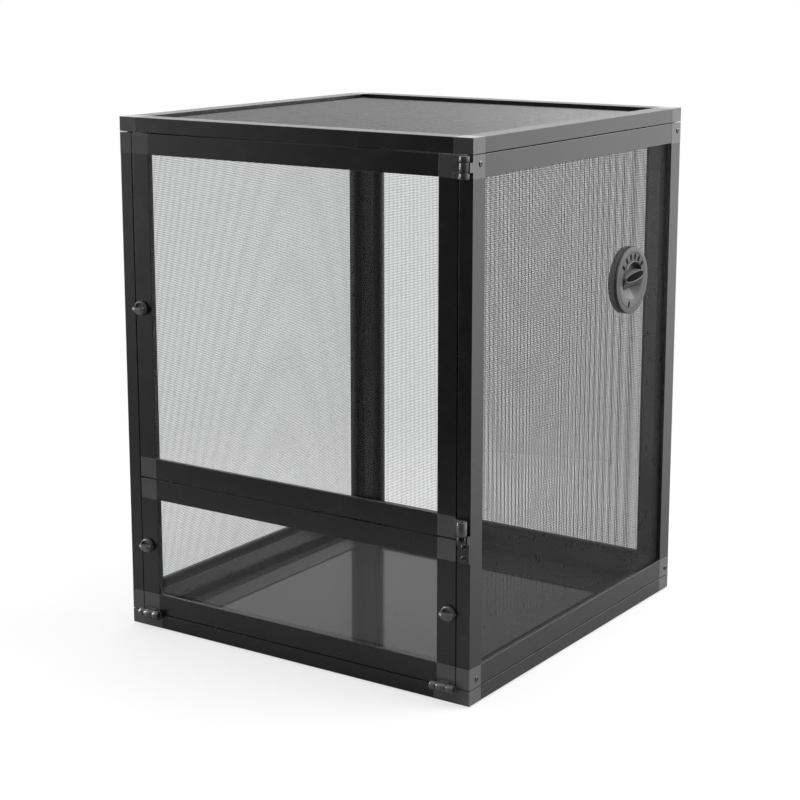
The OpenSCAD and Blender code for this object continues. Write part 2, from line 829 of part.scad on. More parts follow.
top_rails();
top_stiles();
top_corners();
top_net();
top_spline();
bottom_rails();
bottom_stiles();
bottom_corners();
floor_sheet();
floor_spline();
left_rails();
left_stiles();
left_corners();
left_net();
left_spline();
right_rails();
right_stiles();
right_corners();
right_net();
right_spline();
back_rails();
back_stiles();
back_corners();
back_net();
back_spline();
upper_door_rails();
upper_door_stiles();
upper_door_corners();
upper_door_pane();
upper_door_seal();
lower_door_rails();
lower_door_stiles();
lower_door_corners();
lower_door_pane();
lower_door_seal();
hinge_bracket();
hinge_bracket_screws();
door_hinge_pins();
hatch_hinge_pins();
upper_knob();
upper_cam();
upper_cam_screw();
lower_left_knob();
lower_left_cam();
lower_left_cam_screw();
lower_right_knob();
lower_right_cam();
lower_right_cam_screw();
port_bezel();
port_clamp_ring();
port_dial();
panel_screws();
feet();
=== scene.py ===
import math
import random

import bmesh
import bpy
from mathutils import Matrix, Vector


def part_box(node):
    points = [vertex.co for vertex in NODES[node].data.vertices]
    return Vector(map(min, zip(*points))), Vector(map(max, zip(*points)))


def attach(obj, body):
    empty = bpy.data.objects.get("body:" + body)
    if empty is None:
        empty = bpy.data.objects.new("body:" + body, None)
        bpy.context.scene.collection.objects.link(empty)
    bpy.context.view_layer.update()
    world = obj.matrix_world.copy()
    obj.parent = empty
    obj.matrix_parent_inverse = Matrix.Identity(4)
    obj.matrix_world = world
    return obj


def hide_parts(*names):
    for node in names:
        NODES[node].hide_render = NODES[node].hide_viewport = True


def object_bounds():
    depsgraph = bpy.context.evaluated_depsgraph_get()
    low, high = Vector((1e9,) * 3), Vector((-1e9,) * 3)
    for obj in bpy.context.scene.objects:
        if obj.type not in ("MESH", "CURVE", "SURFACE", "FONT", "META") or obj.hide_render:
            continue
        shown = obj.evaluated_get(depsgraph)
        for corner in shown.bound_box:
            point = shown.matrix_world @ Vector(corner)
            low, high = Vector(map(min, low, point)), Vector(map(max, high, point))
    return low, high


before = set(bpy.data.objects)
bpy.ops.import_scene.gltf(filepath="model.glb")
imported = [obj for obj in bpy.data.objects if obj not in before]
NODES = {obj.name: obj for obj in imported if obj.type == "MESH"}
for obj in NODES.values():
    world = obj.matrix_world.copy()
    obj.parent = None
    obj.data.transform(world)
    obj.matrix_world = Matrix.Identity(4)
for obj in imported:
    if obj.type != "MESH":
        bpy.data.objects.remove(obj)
cad_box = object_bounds()
MM = 0.001
X, Y, Z = Vector((1, 0, 0)), Vector((0, 1, 0)), Vector((0, 0, 1))


# Materials

SPECULAR = "Specular IOR Level"
BLUE_SHARE = 1.04


def grey(level):
    """A grey with a trace of blue."""
    return (level, level, level * BLUE_SHARE)


class Shader:
    """A material's node tree with short calls to add and join nodes."""

    def __init__(self, name):
        self.material = bpy.data.materials.new(name)
        self.material.use_nodes = True
        self.nodes = self.material.node_tree.nodes
        self.links = self.material.node_tree.links
        self.main = self.nodes["Principled BSDF"]
        self.place = self.nodes.new("ShaderNodeTexCoord").outputs["Object"]

    def noise(self, scale, detail):
        node = self.nodes.new("ShaderNodeTexNoise")
        node.inputs["Scale"].default_value = scale
        node.inputs["Detail"].default_value = detail
        self.links.new(self.place, node.inputs["Vector"])
        return node.outputs["Fac"]

    def tint(self, value, dark, light):
        node = self.nodes.new("ShaderNodeMix")
        node.data_type = "RGBA"
        node.inputs["A"].default_value = (*dark, 1)
        node.inputs["B"].default_value = (*light, 1)
        self.links.new(value, node.inputs["Factor"])
        self.links.new(node.outputs["Result"], self.main.inputs["Base Color"])

    def rough(self, value, low, high):
        node = self.nodes.new("ShaderNodeMapRange")
        node.inputs["To Min"].default_value = low
        node.inputs["To Max"].default_value = high
        self.links.new(value, node.inputs["Value"])
        self.links.new(node.outputs["Result"], self.main.inputs["Roughness"])

    def bump(self, value, strength, distance):
        node = self.nodes.new("ShaderNodeBump")
        node.inputs["Strength"].default_value = strength
        node.inputs["Distance"].default_value = distance
        self.links.new(value, node.inputs["Height"])
        self.links.new(node.outputs["Normal"], self.main.inputs["Normal"])


def surface(name, tint, rough, bump=None, even=None):
    """A material whose colour, roughness and relief follow noise.

    Each of tint, rough and bump starts with its noise's scale and detail. Then come the two colours,
    the two roughnesses, or the bump's strength and height. even has the values that don't vary.
    """
    shader = Shader(name)
    shader.tint(shader.noise(*tint[:2]), *tint[2:])
    shader.rough(shader.noise(*rough[:2]), *rough[2:])
    if bump:
        shader.bump(shader.noise(*bump[:2]), *bump[2:])
    for socket, value in (even or {}).items():
        shader.main.inputs[socket].default_value = value
    return shader.material


FRAME = surface("coated_aluminium", tint=(9, 4, grey(0.003), grey(0.005)), rough=(60, 3, 0.22, 0.3),
                bump=(1400, 2, 0.04, 0.06 * MM), even={SPECULAR: 0.8})
CORNER = surface("moulded_plastic", tint=(35, 4, grey(0.085), grey(0.11)), rough=(220, 2, 0.1, 0.17),
                 bump=(2600, 2, 0.12, 0.04 * MM), even={SPECULAR: 0.7})
LATCH = surface("glossy_plastic", tint=(70, 3, grey(0.012), grey(0.02)), rough=(160, 2, 0.1, 0.17),
                bump=(900, 2, 0.08, 0.05 * MM), even={SPECULAR: 0.9})
# The knobs are black plastic; this grey tint is a painted reflection of the pale floor and lightens the
# whole knob.
KNOB_WITH_PAINTED_REFLECTION = surface("knob_plastic_painted_reflection", tint=(70, 3, grey(0.12), grey(0.15)), rough=(160, 2, 0.12, 0.2),
               bump=(900, 2, 0.08, 0.05 * MM), even={SPECULAR: 0.9})
PORT = surface("port_plastic", tint=(50, 3, grey(0.1), grey(0.13)), rough=(180, 2, 0.4, 0.5),
               bump=(1800, 2, 0.15, 0.05 * MM), even={SPECULAR: 0.3})
MARK = surface("mark_black", tint=(300, 2, grey(0.003), grey(0.006)), rough=(300, 2, 0.5, 0.7),
               even={SPECULAR: 0.03})
STRIP = surface("strip_black", tint=(60, 3, grey(0.007), grey(0.011)), rough=(150, 2, 0.45, 0.6),
                even={SPECULAR: 0.2})
WIRE = surface("net_wire", tint=(14, 3, grey(0.03), grey(0.045)), rough=(90, 2, 0.24, 0.34),
               even={SPECULAR: 0.8})
PANE = surface("clear_sheet", tint=(3, 2, (0.97, 0.985, 0.985), (1, 1, 1)), rough=(40, 3, 0, 0.006),
               even={"Transmission Weight": 1, "IOR": 1.49, "Specular Tint": (0.2, 0.2, 0.2, 1)})
FLOOR = surface("floor_plastic", tint=(12, 4, grey(0.04), grey(0.05)), rough=(25, 3, 0.03, 0.06),
                bump=(500, 2, 0.01, 0.05 * MM), even={SPECULAR: 0.42})
RUBBER = surface("rubber", tint=(40, 3, grey(0.016), grey(0.028)), rough=(120, 2, 0.5, 0.68),
                 bump=(1500, 3, 0.3, 0.08 * MM))
STEEL = surface("dark_steel", tint=(200, 3, grey(0.1), grey(0.16)), rough=(400, 2, 0.16, 0.26),
                even={"Metallic": 1})


# Carried-over solids: a material and rounded edges for each, by how its name ends

EDGE_FRAME = 0.35 * MM
EDGE_MOULDED = 0.5 * MM
EDGE_SMALL = 0.2 * MM
EDGE_SEGMENTS = 2
EDGE_ANGLE = 40
WELD_GAP = 0.001 * MM
FINISHES = (
    (("_rails", "_stiles"), FRAME, EDGE_FRAME),
    (("_corners",), CORNER, EDGE_MOULDED),
    (("_pane",), PANE, EDGE_SMALL),
    (("floor_sheet",), FLOOR, EDGE_SMALL),
    (("_spline",), STRIP, EDGE_SMALL),
    (("_seal", "feet"), RUBBER, EDGE_FRAME),
    (("port_bezel", "port_clamp_ring", "port_dial"), PORT, EDGE_MOULDED),
    (("_screw", "_screws", "_pins"), STEEL, EDGE_SMALL),
    (("_net",), WIRE, EDGE_SMALL),
    (("_knob",), KNOB_WITH_PAINTED_REFLECTION, EDGE_MOULDED),
    (("_cam", "hinge_bracket"), LATCH, EDGE_MOULDED),
)


def dress(node):
    solid = NODES[node]
    material, edge = next(finish[1:] for finish in FINISHES if node.endswith(finish[0]))
    solid.data.materials.clear()
    solid.data.materials.append(material)
    weld = solid.modifiers.new("weld", "WELD")
    weld.merge_threshold = WELD_GAP
    bevel = solid.modifiers.new("edges", "BEVEL")
    bevel.width = edge
    bevel.segments = EDGE_SEGMENTS
    bevel.limit_method = "ANGLE"
    bevel.angle_limit = math.radians(EDGE_ANGLE)
    bevel.harden_normals = True
    bevel.use_clamp_overlap = True


for name in NODES:
    dress(name)


# Modelled pieces

SHARP_ANGLE = 38


def piece(name, mesh, material, body, slot, *replaced):
    made = bpy.data.objects.new(name, mesh)
    bpy.context.scene.collection.objects.link(made)
    mesh.materials.append(material)
    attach(made, body)
    if replaced:
        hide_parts(*replaced)


def mesh_from(name, build):
    work = bmesh.new()
    build(work)
    bmesh.ops.recalc_face_normals(work, faces=work.faces)
    mesh = bpy.data.meshes.new(name)
    work.to_mesh(mesh)
    work.free()
    for face in mesh.polygons:
        face.use_smooth = True
    mesh.set_sharp_from_angle(angle=math.radians(SHARP_ANGLE))
    return mesh


def share(value, low, high):
    """How far a value is from low to high, from 0 to 1."""
    return min(max((value - low) / (high - low), 0.0), 1.0)


def smoothstep(low, high, value):
    t = share(value, low, high)
    return t * t * (3 - 2 * t)


def band(work, one, two):
    """Faces between two closed rows of points."""
    for i in range(len(one)):
        j = (i + 1) % len(one)
        work.faces.new((one[i], one[j], two[j], two[i]))


def lathe(work, centre, axes, profile, steps):
    """A closed ring: (radius, height) points of a profile turned about the third axis."""
    along, across, out = axes
    rows = []
    for step in range(steps):
        turn = 2 * math.pi * step / steps
        spoke = along * math.cos(turn) + across * math.sin(turn)
        rows.append([work.verts.new(centre + spoke * radius + out * height) for radius, height in profile])
    for i in range(steps):
        band(work, rows[i], rows[(i + 1) % steps])


def relief(work, centre, axes, radius, depth, height, rings, steps):
    """A round face with a height formula, and a wall from its edge down to a flat back."""
    along, across, out = axes
    middle = work.verts.new(centre + out * height(0, 0))
    inner = None
    for ring in range(1, rings + 1):
        reach = radius * ring / rings
        row = []
        for step in range(steps):
            turn = 2 * math.pi * step / steps
            a, b = reach * math.cos(turn), reach * math.sin(turn)
            row.append(work.verts.new(centre + along * a + across * b + out * height(a, b)))
        if inner:
            band(work, inner, row)
        else:
            for i in range(steps):
                work.faces.new((middle, row[i], row[(i + 1) % steps]))
        inner = row
    back = [work.verts.new(v.co - out * ((v.co - centre).dot(out) + depth)) for v in inner]
    band(work, inner, back)
    work.faces.new(back)


# Nets: two layers of fine crossing wires, each wire straying a little from its place

WIRE_PITCH = 1.8 * MM
WIRE_D = 0.41 * MM
WIRE_SIDES = 6
WIRE_STRAY = 0.04 * MM


def add_wire(work, start, end, across, up):
    """A thin straight wire with closed ends between two points."""
    rings = []
    for point in (start, end):
        ring = []
        for i in range(WIRE_SIDES):
            turn = 2 * math.pi * i / WIRE_SIDES
            offset = (across * math.cos(turn) + up * math.sin(turn)) * WIRE_D / 2
            ring.append(work.verts.new(point + offset))
        rings.append(ring)
    band(work, *rings)
    work.faces.new(rings[0])
    work.faces.new(rings[1])


def spans(low, high, middle, offset, radius):
    """The stretches of a wire that a round hole leaves."""
    if radius is None or abs(offset) >= radius:
        return [(low, high)]
    half = math.sqrt(radius * radius - offset * offset)
    return [(low, middle - half), (middle + half, high)]


def wire_net(node, hole=None):
    """Two layers of crossing wires that fill a net's solid; hole is (centre, radius)."""
    low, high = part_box(node)
    size = high - low
    stray = random.Random(node)
    normal = min(range(3), key=lambda axis: size[axis])
    first, second = [axis for axis in range(3) if axis != normal]
    centre, radius = hole if hole else (low, None)
    directions = (X, Y, Z)

    def build(work):
        for layer, (along, across) in enumerate(((first, second), (second, first))):
            depth = (low[normal] + high[normal]) / 2 + (layer - 0.5) * WIRE_D
            count = int(size[across] / WIRE_PITCH)
            margin = (size[across] - (count - 1) * WIRE_PITCH) / 2
            for i in range(count):
                place = low[across] + margin + i * WIRE_PITCH
                place += stray.uniform(-WIRE_STRAY, WIRE_STRAY)
                cuts = spans(low[along], high[along], centre[along], place - centre[across], radius)
                for cut in cuts:
                    points = []
                    for distance in cut:
                        point = Vector((0, 0, 0))
                        point[along], point[across], point[normal] = distance, place, depth
                        points.append(point)
                    add_wire(work, *points, directions[across], directions[normal])

    name = node.replace("_net", "_mesh_wires")
    piece(name, mesh_from(name, build), WIRE, "cage", "net", node)


# Port, worked out from its solids: a grooved plate with black marks, and a dial with an off-centre grip

bezel_low, bezel_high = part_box("port_bezel")
dial_low, dial_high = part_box("port_dial")
PORT_AXES = (Y, Z, X)
PORT_R = (bezel_high.y - bezel_low.y) / 2
PORT_CENTRE = Vector((bezel_high.x, (bezel_low.y + bezel_high.y) / 2, (bezel_low.z + bezel_high.z) / 2))
PORT_STEPS = 180
PLATE_T = 1.8 * MM
PLATE_ROUND, PLATE_ROUND_MID = 0.7 * MM, 0.2 * MM
COLLAR_R = PORT_R - 5 * MM
COLLAR_BORE_R = COLLAR_R - 3.9 * MM
NET_HOLE_R = COLLAR_R + 0.4 * MM
GROOVE_R = 28 * MM
GROOVE_HALF_W, GROOVE_BED_HALF_W = 0.35 * MM, 0.2 * MM
GROOVE_DEPTH = 0.5 * MM
DIAL_R = 20 * MM
DIAL_CLEAR = 0.1 * MM
BORE_ROUND, BORE_ROUND_MID = 0.3 * MM, 0.1 * MM

for name in ("top_net", "left_net", "back_net"):
    wire_net(name)
wire_net("right_net", (PORT_CENTRE, NET_HOLE_R))


def build_bezel(work):
    deep = bezel_low.x - bezel_high.x
    bore = DIAL_R + DIAL_CLEAR
    profile = [
        (bore, -PLATE_T),
        (bore, -BORE_ROUND),
        (bore + BORE_ROUND_MID, -BORE_ROUND_MID),
        (bore + BORE_ROUND, 0),
        (GROOVE_R - GROOVE_HALF_W, 0),
        (GROOVE_R - GROOVE_BED_HALF_W, -GROOVE_DEPTH),
        (GROOVE_R + GROOVE_BED_HALF_W, -GROOVE_DEPTH),
        (GROOVE_R + GROOVE_HALF_W, 0),
        (PORT_R - PLATE_ROUND, 0),
        (PORT_R - PLATE_ROUND_MID, -PLATE_ROUND_MID),
        (PORT_R, -PLATE_ROUND),
        (PORT_R, -PLATE_T),
        (COLLAR_R, -PLATE_T),
        (COLLAR_R, deep),
        (COLLAR_BORE_R, deep),
        (COLLAR_BORE_R, -PLATE_T),
    ]
    lathe(work, PORT_CENTRE, PORT_AXES, profile, PORT_STEPS)


piece("port_bezel_plate", mesh_from("port_bezel_plate", build_bezel), PORT, "cage", "port", "port_bezel")

# Marks, by their angle from straight down towards the back
MARK_COUNT = 6
MARK_START = 127
MARK_STEP = 21
LOW_MARK = -15
MARK_MIDDLE_R = 24.2 * MM
MARK_L = 6.2 * MM
MARK_W = 3.5 * MM
MARK_RISE = 0.05 * MM
MARK_SUNK = 0.9 * MM
MARK_END_STEPS = 8


def build_marks(work):
    """Round-ended black bars, sunk into the plate."""
    for turn in [LOW_MARK] + [MARK_START + i * MARK_STEP for i in range(MARK_COUNT)]:
        angle = math.radians(turn)
        spoke = Y * math.sin(angle) - Z * math.cos(angle)
        side = Y * math.cos(angle) + Z * math.sin(angle)
        outline = []
        for end in (1, -1):
            for step in range(MARK_END_STEPS + 1):
                bend = math.pi * (step / MARK_END_STEPS - 0.5)
                reach = end * ((MARK_L - MARK_W) / 2 + math.cos(bend) * MARK_W / 2)
                outline.append(PORT_CENTRE + spoke * (MARK_MIDDLE_R + reach)
                               + side * end * math.sin(bend) * MARK_W / 2)
        top = [work.verts.new(point + X * MARK_RISE) for point in outline]
        foot = [work.verts.new(point - X * MARK_SUNK) for point in outline]
        work.faces.new(top)
        work.faces.new(foot)
        band(work, top, foot)


piece("port_marks", mesh_from("port_marks", build_marks), MARK, "cage", "port")

# Dial: its edge, and a lens-shaped grip with a recess that holds a dark plate
DIAL_RINGS, DIAL_STEPS = 96, 288
DIAL_ROUND_W, DIAL_ROUND_H = 0.7 * MM, 0.6 * MM
CROWN = dial_high.x - bezel_high.x
GRIP_RISE = 4.5 * MM
GRIP_TURN = math.radians(5)
GRIP_HALF_W = 4.8 * MM
GRIP_HALF_L = 19.6 * MM
GRIP_BLUNT = 2.6
GRIP_SAG = 1.1 * MM
GRIP_RIM = 0.8 * MM
GRIP_RECESS, GRIP_RECESS_WALL = 0.5 * MM, 0.3 * MM
DARK_PLATE_STEPS = 60
DARK_PLATE_REACH = GRIP_HALF_L - 1.1 * GRIP_RIM
DARK_PLATE_RISE, DARK_PLATE_SUNK = 0.12 * MM, 0.9 * MM
DARK_PLATE_LEAST_HALF_W = 0.02 * MM
# Upper scoop: a shoulder above the plate, a steep drop behind it, and a nearly flat floor up to the grip
EDGE_H = -0.5 * MM
SHOULDER_W = 1.3 * MM
SHOULDER_H = 1.6 * MM
DROP_W = 3 * MM
DROP_H = 6.2 * MM
SCOOP_REACH = 9 * MM
SCOOP_RISE = 0.8 * MM
GRIP_CLIFF = 0.8 * MM
# Lower scoop: the grip's flank falls to a straight crease, and a bowl rises from there to the rim
CREASE_V = 13.5 * MM
BOWL_END_V = 24.5 * MM
BOWL_H = -5.8 * MM
RIM_H = 0.3 * MM
FRONT_SIDE_H, FRONT_SIDE_STEEP = -1.5 * MM, 1.5
REAR_SIDE_H, REAR_SIDE_STEEP = 0.3 * MM, 0.6


def grip_place(a, b):
    """Coordinates along and across the grip of a point of the dial's face."""
    return (a * math.cos(GRIP_TURN) + b * math.sin(GRIP_TURN),
            b * math.cos(GRIP_TURN) - a * math.sin(GRIP_TURN) - GRIP_RISE)


def grip_half_width(u):
    return GRIP_HALF_W * math.sqrt(max(1 - abs(u / GRIP_HALF_L) ** GRIP_BLUNT, 0.0))


def grip_top(u):
    return CROWN - GRIP_SAG * (u / GRIP_HALF_L) ** 2


def upper_scoop(inside):
    shoulder = math.sin(min(inside / SHOULDER_W, 1.0) * math.pi / 2)
    drop = share(inside, SHOULDER_W, SHOULDER_W + DROP_W)
    climb = share(inside, SHOULDER_W + DROP_W, SHOULDER_W + SCOOP_REACH)
    height = EDGE_H + (SHOULDER_H - EDGE_H) * shoulder
    return height - DROP_H * math.sqrt(1 - (1 - drop) ** 2) + SCOOP_RISE * climb


def lower_scoop(inside, u, v):
    bowl = BOWL_H + (RIM_H - BOWL_H) * share(-v, CREASE_V, BOWL_END_V)
    if u < 0:
        return max(bowl, FRONT_SIDE_H - FRONT_SIDE_STEEP * inside)
    return max(bowl, REAR_SIDE_H - REAR_SIDE_STEEP * inside)


def dial_height(a, b):
    radius = math.hypot(a, b)
    inside = max(DIAL_R - radius, 0.0)
    u, v = grip_place(a, b)
    gap = abs(v) - grip_half_width(u)
    if v > 0:
        face, flank = upper_scoop(inside), GRIP_CLIFF
    else:
        face, flank = lower_scoop(inside, u, v), CREASE_V - grip_half_width(u)
    sunk = GRIP_RECESS * smoothstep(-GRIP_RIM, -GRIP_RIM - GRIP_RECESS_WALL, gap)
    face += (grip_top(u) - sunk - face) * (1 - share(gap, 0, flank))
    return face - DIAL_ROUND_H * smoothstep(DIAL_R - DIAL_ROUND_W, DIAL_R, radius) ** 2


def build_dial(work):
    depth = bezel_high.x - dial_low.x
    relief(work, PORT_CENTRE, PORT_AXES, DIAL_R, depth, dial_height, DIAL_RINGS, DIAL_STEPS)


def build_grip_dark_plate(work):
    """A dark lens-shaped plate in the grip's recess."""
    edges = {}
    for side in (-1, 1):
        for part, level in (("foot", -DARK_PLATE_SUNK), ("top", DARK_PLATE_RISE - GRIP_RECESS)):
            row = []
            for step in range(1, DARK_PLATE_STEPS):
                u = DARK_PLATE_REACH * (2 * step / DARK_PLATE_STEPS - 1)
                v = side * max(grip_half_width(u) - GRIP_RIM, DARK_PLATE_LEAST_HALF_W) + GRIP_RISE
                a = u * math.cos(GRIP_TURN) - v * math.sin(GRIP_TURN)
                b = v * math.cos(GRIP_TURN) + u * math.sin(GRIP_TURN)
                row.append(work.verts.new(PORT_CENTRE + Y * a + Z * b + X * (grip_top(u) + level)))
            edges[side, part] = row
    loop = (edges[-1, "top"], edges[1, "top"], edges[1, "foot"], edges[-1, "foot"])
    for one, two in zip(loop, loop[1:] + loop[:1]):
        for i in range(len(one) - 1):
            work.faces.new((one[i], one[i + 1], two[i + 1], two[i]))
    for end in (0, -1):
        work.faces.new([row[end] for row in loop])


piece("port_dial_face", mesh_from("port_dial_face", build_dial), PORT, "port_rotor", "port", "port_dial")
piece("port_grip_dark_plate", mesh_from("port_grip_dark_plate", build_grip_dark_plate), MARK, "port_rotor", "port")

# Screws: round heads with a cross recess, on the places of their solids
HEAD_R = 2.7 * MM
HEAD_H = 1.0 * MM
HEAD_SEAT = 0.1 * MM
HEAD_RINGS, HEAD_STEPS = 20, 72
HEAD_DOME = 0.25
HEAD_ROUND, HEAD_ROUND_FROM = 0.55, 0.72
CROSS_L, CROSS_BED_L = 1.5 * MM, 1.275 * MM
CROSS_W, CROSS_BED_W = 0.5 * MM, 0.35 * MM
CROSS_DEPTH = 0.7 * MM


def screw_height(a, b):
    r = math.hypot(a, b) / HEAD_R
    arm, side = max(abs(a), abs(b)), min(abs(a), abs(b))
    cut = smoothstep(CROSS_W, CROSS_BED_W, side) * smoothstep(CROSS_L, CROSS_BED_L, arm)
    fall = HEAD_DOME * r * r + HEAD_ROUND * smoothstep(HEAD_ROUND_FROM, 1.0, r) ** 2
    return HEAD_H * (1 - fall) - CROSS_DEPTH * cut


def add_head(work, place, axes):
    relief(work, place, axes, HEAD_R, HEAD_SEAT, screw_height, HEAD_RINGS, HEAD_STEPS)


def panel_screw_heads():
    low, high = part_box("panel_screws")

    def build(work):
        for x, out in ((low.x + HEAD_H, -X), (high.x - HEAD_H, X)):
            for y in (low.y + HEAD_R, high.y - HEAD_R):
                for z in (low.z + HEAD_R, high.z - HEAD_R):
                    add_head(work, Vector((x, y, z)), (Y, Z, out))

    piece("panel_screw_heads", mesh_from("panel_screw_heads", build), STEEL, "cage", "steel",
          "panel_screws")


def bracket_screw_heads():
    low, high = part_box("hinge_bracket_screws")
    x = (low.x + high.x) / 2

    def build(work):
        for z in (low.z + HEAD_R, high.z - HEAD_R):
            add_head(work, Vector((x, low.y + HEAD_H, z)), (X, Z, -Y))

    piece("bracket_screw_heads", mesh_from("bracket_screw_heads", build), STEEL, "cage", "steel",
          "hinge_bracket_screws")


panel_screw_heads()
bracket_screw_heads()

# Latch knobs: a dished disc with a fin that slopes away below, a pointer, and a shaft to the cam.
# Shares of the disc's radius say where its edge starts to round, its dish lies and its fin falls off.
KNOB_RINGS, KNOB_STEPS = 28, 120
KNOB_DISC_T = 3.6 * MM
KNOB_CREST = 7.2 * MM
KNOB_ROUND, KNOB_ROUND_FROM = 1.0 * MM, 0.78
KNOB_DISH, DISH_FROM, DISH_FULL = 2 * MM, 0.86, 0.72
FIN_HALF_W = 0.9 * MM
FIN_LEAN = 0.36
FIN_END_DROP, FIN_END_FROM = 1.3 * MM, 0.5
FIN_CLIFF = 0.5 * MM
SHAFT_R = 3 * MM
SHAFT_STEPS = 48
CAM_SEAT_R = 2 * MM
CAM_T = 2 * MM
POINTER_FROM = 5.5 * MM
POINTER_ROOT = ((1.6 * MM, 3.5 * MM), (-1.6 * MM, 4.8 * MM))
POINTER_TIP = ((0.9 * MM, 3.0 * MM), (-0.9 * MM, 3.7 * MM))


def latch_knob(latch):
    node = latch + "_knob"
    low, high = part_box(node)
    screw_low, screw_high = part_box(latch + "_cam_screw")
    radius = (high.z - low.z) / 2
    back = Vector(((screw_low.x + screw_high.x) / 2, low.y + KNOB_CREST, (low.z + high.z) / 2))
    side = 1 if high.x - back.x > back.x - low.x else -1
    reach = max(high.x - back.x, back.x - low.x)
    front_axes, rear_axes = (X, Z, -Y), (X, Z, Y)

    def height(a, b):
        r = math.hypot(a, b) / radius
        face = KNOB_DISC_T - KNOB_ROUND * smoothstep(KNOB_ROUND_FROM, 1.0, r) ** 2
        flank = radius - FIN_HALF_W
        if b > 0:
            face -= KNOB_DISH * smoothstep(DISH_FROM, DISH_FULL, r)
            flank = FIN_CLIFF
        lean = FIN_LEAN * (min(max(b, -FIN_HALF_W), FIN_HALF_W) + FIN_HALF_W)
        crest = KNOB_CREST - lean - FIN_END_DROP * smoothstep(FIN_END_FROM, 1.0, abs(a) / radius)
        gap = max(abs(b) - FIN_HALF_W, 0.0)
        return face + (crest - face) * max(1 - gap / flank, 0.0)

    def build_pointer(work):
        ends = []
        for along, corners in ((POINTER_FROM, POINTER_ROOT), (reach, POINTER_TIP)):
            outline = list(corners) + [(b, 0) for b, h in reversed(corners)]
            ends.append([work.verts.new(back + X * side * along + Z * b - Y * h) for b, h in outline])
        work.faces.new(ends[0])
        work.faces.new(ends[1])
        band(work, *ends)

    def build_rod(work, rod_radius, end):
        relief(work, back, rear_axes, rod_radius, 0, lambda a, b: end - back.y, 1, SHAFT_STEPS)

    def build(work):
        relief(work, back, front_axes, radius, 0, height, KNOB_RINGS, KNOB_STEPS)
        build_pointer(work)
        build_rod(work, SHAFT_R, high.y - CAM_T)
        build_rod(work, CAM_SEAT_R, high.y)

    name = latch + "_latch_grip"
    piece(name, mesh_from(name, build), KNOB_WITH_PAINTED_REFLECTION, latch + "_latch", "latch", node)


for latch in ("upper", "lower_left", "lower_right"):
    latch_knob(latch)


# Camera, placed so that the cage's corners fall where the photograph has them

CAMERA_AT = (1.0396, -1.5496, 0.6612)
CAMERA_AZIMUTH = 34.037
CAMERA_PITCH = 11.362
CAMERA_LENS = 84.82
CAMERA_SHIFT_Y = -0.08
CAMERA_NEAR, CAMERA_FAR = 0.05, 50
SENSOR = 36.0


def face_along(thing, at, forward):
    """Put a camera or a lamp at a place, looking along a direction."""
    bpy.context.scene.collection.objects.link(thing)
    thing.location = at
    thing.rotation_mode = "QUATERNION"
    thing.rotation_quaternion = forward.to_track_quat("-Z", "Y")


def make_camera():
    data = bpy.data.cameras.new("camera")
    data.sensor_width = SENSOR
    data.lens = CAMERA_LENS
    data.shift_y = CAMERA_SHIFT_Y
    data.clip_start = CAMERA_NEAR
    data.clip_end = CAMERA_FAR
    camera = bpy.data.objects.new("camera", data)
    a, p = math.radians(CAMERA_AZIMUTH), math.radians(CAMERA_PITCH)
    forward = Vector((-math.sin(a) * math.cos(p), math.cos(a) * math.cos(p), -math.sin(p)))
    face_along(camera, CAMERA_AT, forward)
    bpy.context.scene.camera = camera


# Light: the studio's levels by direction, and soft boxes as name, place, target, size and power

DARK_TOWARDS = Vector((0.3, -0.95, 0)).normalized()
DARK_FROM, DARK_FULL = 0.3, 0.62
DARK_LEVEL = 0.015
BRIGHT_TOWARDS = Vector((0.5, 0.87, 0)).normalized()
BRIGHT_FROM, BRIGHT_FULL = 0.5, 0.85
BRIGHT_EXTRA = 0.5
BELOW_FROM, BELOW_FULL = 0.12, 0.42
BELOW_SHARE = 0.2
SOFTBOXES = (
    ("top_box", (0.0, 0.3, 2.2), (0, 0, 0.3), (1.6, 1.6), 17),
    ("right_box", (0.95, 0.3, 1.9), (0.2, 0.05, 0.3), (0.7, 0.9), 22),
    ("left_box", (-1.9, -0.9, 0.75), (0, -0.1, 0.6), (0.45, 1.5), 20),
    ("back_box", (1.1, 2.0, 1.0), (0.2, 0.1, 0.35), (0.8, 0.8), 12),
)


def softbox(name, at, target, size, power):
    data = bpy.data.lights.new(name, "AREA")
    data.shape = "RECTANGLE"
    data.size, data.size_y = size
    data.energy = power
    face_along(bpy.data.objects.new(name, data), at, Vector(target) - Vector(at))


def join(tree, operation, one, two):
    """A math node whose first input is linked and whose second is linked or a number."""
    node = tree.nodes.new("ShaderNodeMath")
    node.operation = operation
    tree.links.new(one, node.inputs[0])
    if isinstance(two, float):
        node.inputs[1].default_value = two
    else:
        tree.links.new(two, node.inputs[1])
    return node.outputs["Value"]


def ramp(tree, value, start, full, low, high):
    """A smooth change from low to high while a value goes from start to full."""
    node = tree.nodes.new("ShaderNodeMapRange")
    node.interpolation_type = "SMOOTHSTEP"
    limits = {"From Min": start, "From Max": full, "To Min": low, "To Max": high}
    for socket, limit in limits.items():
        node.inputs[socket].default_value = limit
    tree.links.new(value, node.inputs["Value"])
    return node.outputs["Result"]


def blend(tree, factor, one, two):
    node = tree.nodes.new("ShaderNodeMixShader")
    for socket, value in zip(node.inputs, (factor, one, two)):
        tree.links.new(value, socket)
    return node.outputs["Shader"]


def seen(tree):
    """1 for rays from the camera, also through the panes, and 0 for the light on the cage."""
    path = tree.nodes.new("ShaderNodeLightPath")
    return join(tree, "MAXIMUM", path.outputs["Is Camera Ray"], path.outputs["Is Transmission Ray"])


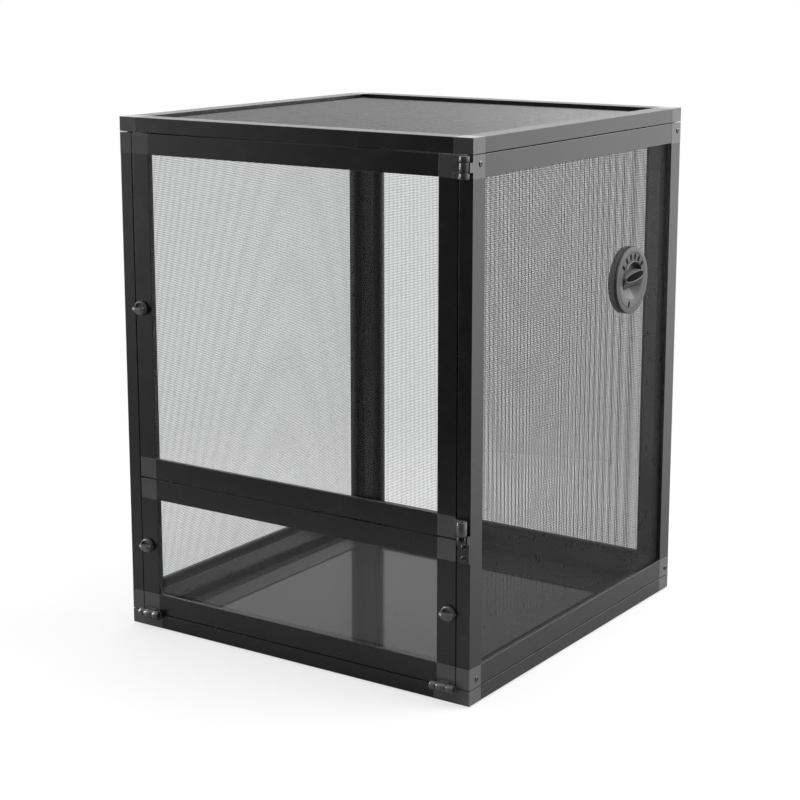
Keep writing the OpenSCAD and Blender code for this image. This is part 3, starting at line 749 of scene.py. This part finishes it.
def make_world():
    """White where it is seen; as light, dark in front of the cage and bright behind it."""
    world = bpy.data.worlds.new("studio")
    bpy.context.scene.world = world
    world.use_nodes = True
    tree = world.node_tree
    background = tree.nodes["Background"]
    background.inputs["Color"].default_value = (1, 1, 1, 1)
    place = tree.nodes.new("ShaderNodeTexCoord").outputs["Generated"]

    def sector(towards, start, full, outside, inside):
        near = tree.nodes.new("ShaderNodeVectorMath")
        near.operation = "DOT_PRODUCT"
        near.inputs[1].default_value = towards
        tree.links.new(place, near.inputs[0])
        return ramp(tree, near.outputs["Value"], start, full, outside, inside)

    level = join(tree, "ADD", sector(DARK_TOWARDS, DARK_FROM, DARK_FULL, 1, DARK_LEVEL),
                 sector(BRIGHT_TOWARDS, BRIGHT_FROM, BRIGHT_FULL, 0, BRIGHT_EXTRA))
    level = join(tree, "MULTIPLY", level, sector(-Z, BELOW_FROM, BELOW_FULL, 1, BELOW_SHARE))
    mix = tree.nodes.new("ShaderNodeMix")
    mix.inputs["B"].default_value = 1
    tree.links.new(seen(tree), mix.inputs["Factor"])
    tree.links.new(level, mix.inputs["A"])
    tree.links.new(mix.outputs["Result"], background.inputs["Strength"])


# Studio floor: its size, where it fades out, and its tone where it is seen and as light

STUDIO_R = 1.2
STUDIO_CLEAR_R = 0.9
STUDIO_FADE_R = 0.45 * STUDIO_CLEAR_R
STUDIO_STEPS = 96
STUDIO_DROP = 0.2 * MM
STUDIO_ROUGH = 0.6
STUDIO_GLOW = 0.7
STUDIO_PALE = 0.86
STUDIO_BOUNCE = 0.3


def make_floor():
    """A pale round floor that keeps the shadow and fades into the white around it."""
    turns = [2 * math.pi * i / STUDIO_STEPS for i in range(STUDIO_STEPS)]
    ring = [(STUDIO_R * math.cos(turn), STUDIO_R * math.sin(turn), 0) for turn in turns]
    mesh = bpy.data.meshes.new("floor")
    mesh.from_pydata(ring, [], [list(range(STUDIO_STEPS))])
    floor = bpy.data.objects.new("floor", mesh)
    bpy.context.scene.collection.objects.link(floor)
    floor.location = (0, 0, cad_box[0].z - STUDIO_DROP)
    material = bpy.data.materials.new("pale_floor")
    material.use_nodes = True
    tree = material.node_tree
    nodes, links = tree.nodes, tree.links
    main = nodes["Principled BSDF"]
    main.inputs["Roughness"].default_value = STUDIO_ROUGH
    direct = seen(tree)
    links.new(ramp(tree, direct, 0, 1, STUDIO_BOUNCE, STUDIO_PALE), main.inputs["Base Color"])
    glow = nodes.new("ShaderNodeEmission").outputs["Emission"]
    pale = blend(tree, join(tree, "MULTIPLY", direct, STUDIO_GLOW), main.outputs["BSDF"], glow)
    length = nodes.new("ShaderNodeVectorMath")
    length.operation = "LENGTH"
    links.new(nodes.new("ShaderNodeTexCoord").outputs["Object"], length.inputs[0])
    fade = ramp(tree, length.outputs["Value"], STUDIO_FADE_R, STUDIO_CLEAR_R, 0, 1)
    clear = nodes.new("ShaderNodeBsdfTransparent").outputs["BSDF"]
    links.new(blend(tree, fade, pale, clear), nodes["Material Output"].inputs["Surface"])
    mesh.materials.append(material)


make_camera()
make_world()
make_floor()
for box in SOFTBOXES:
    softbox(*box)

bpy.context.scene.view_settings.view_transform = "Standard"
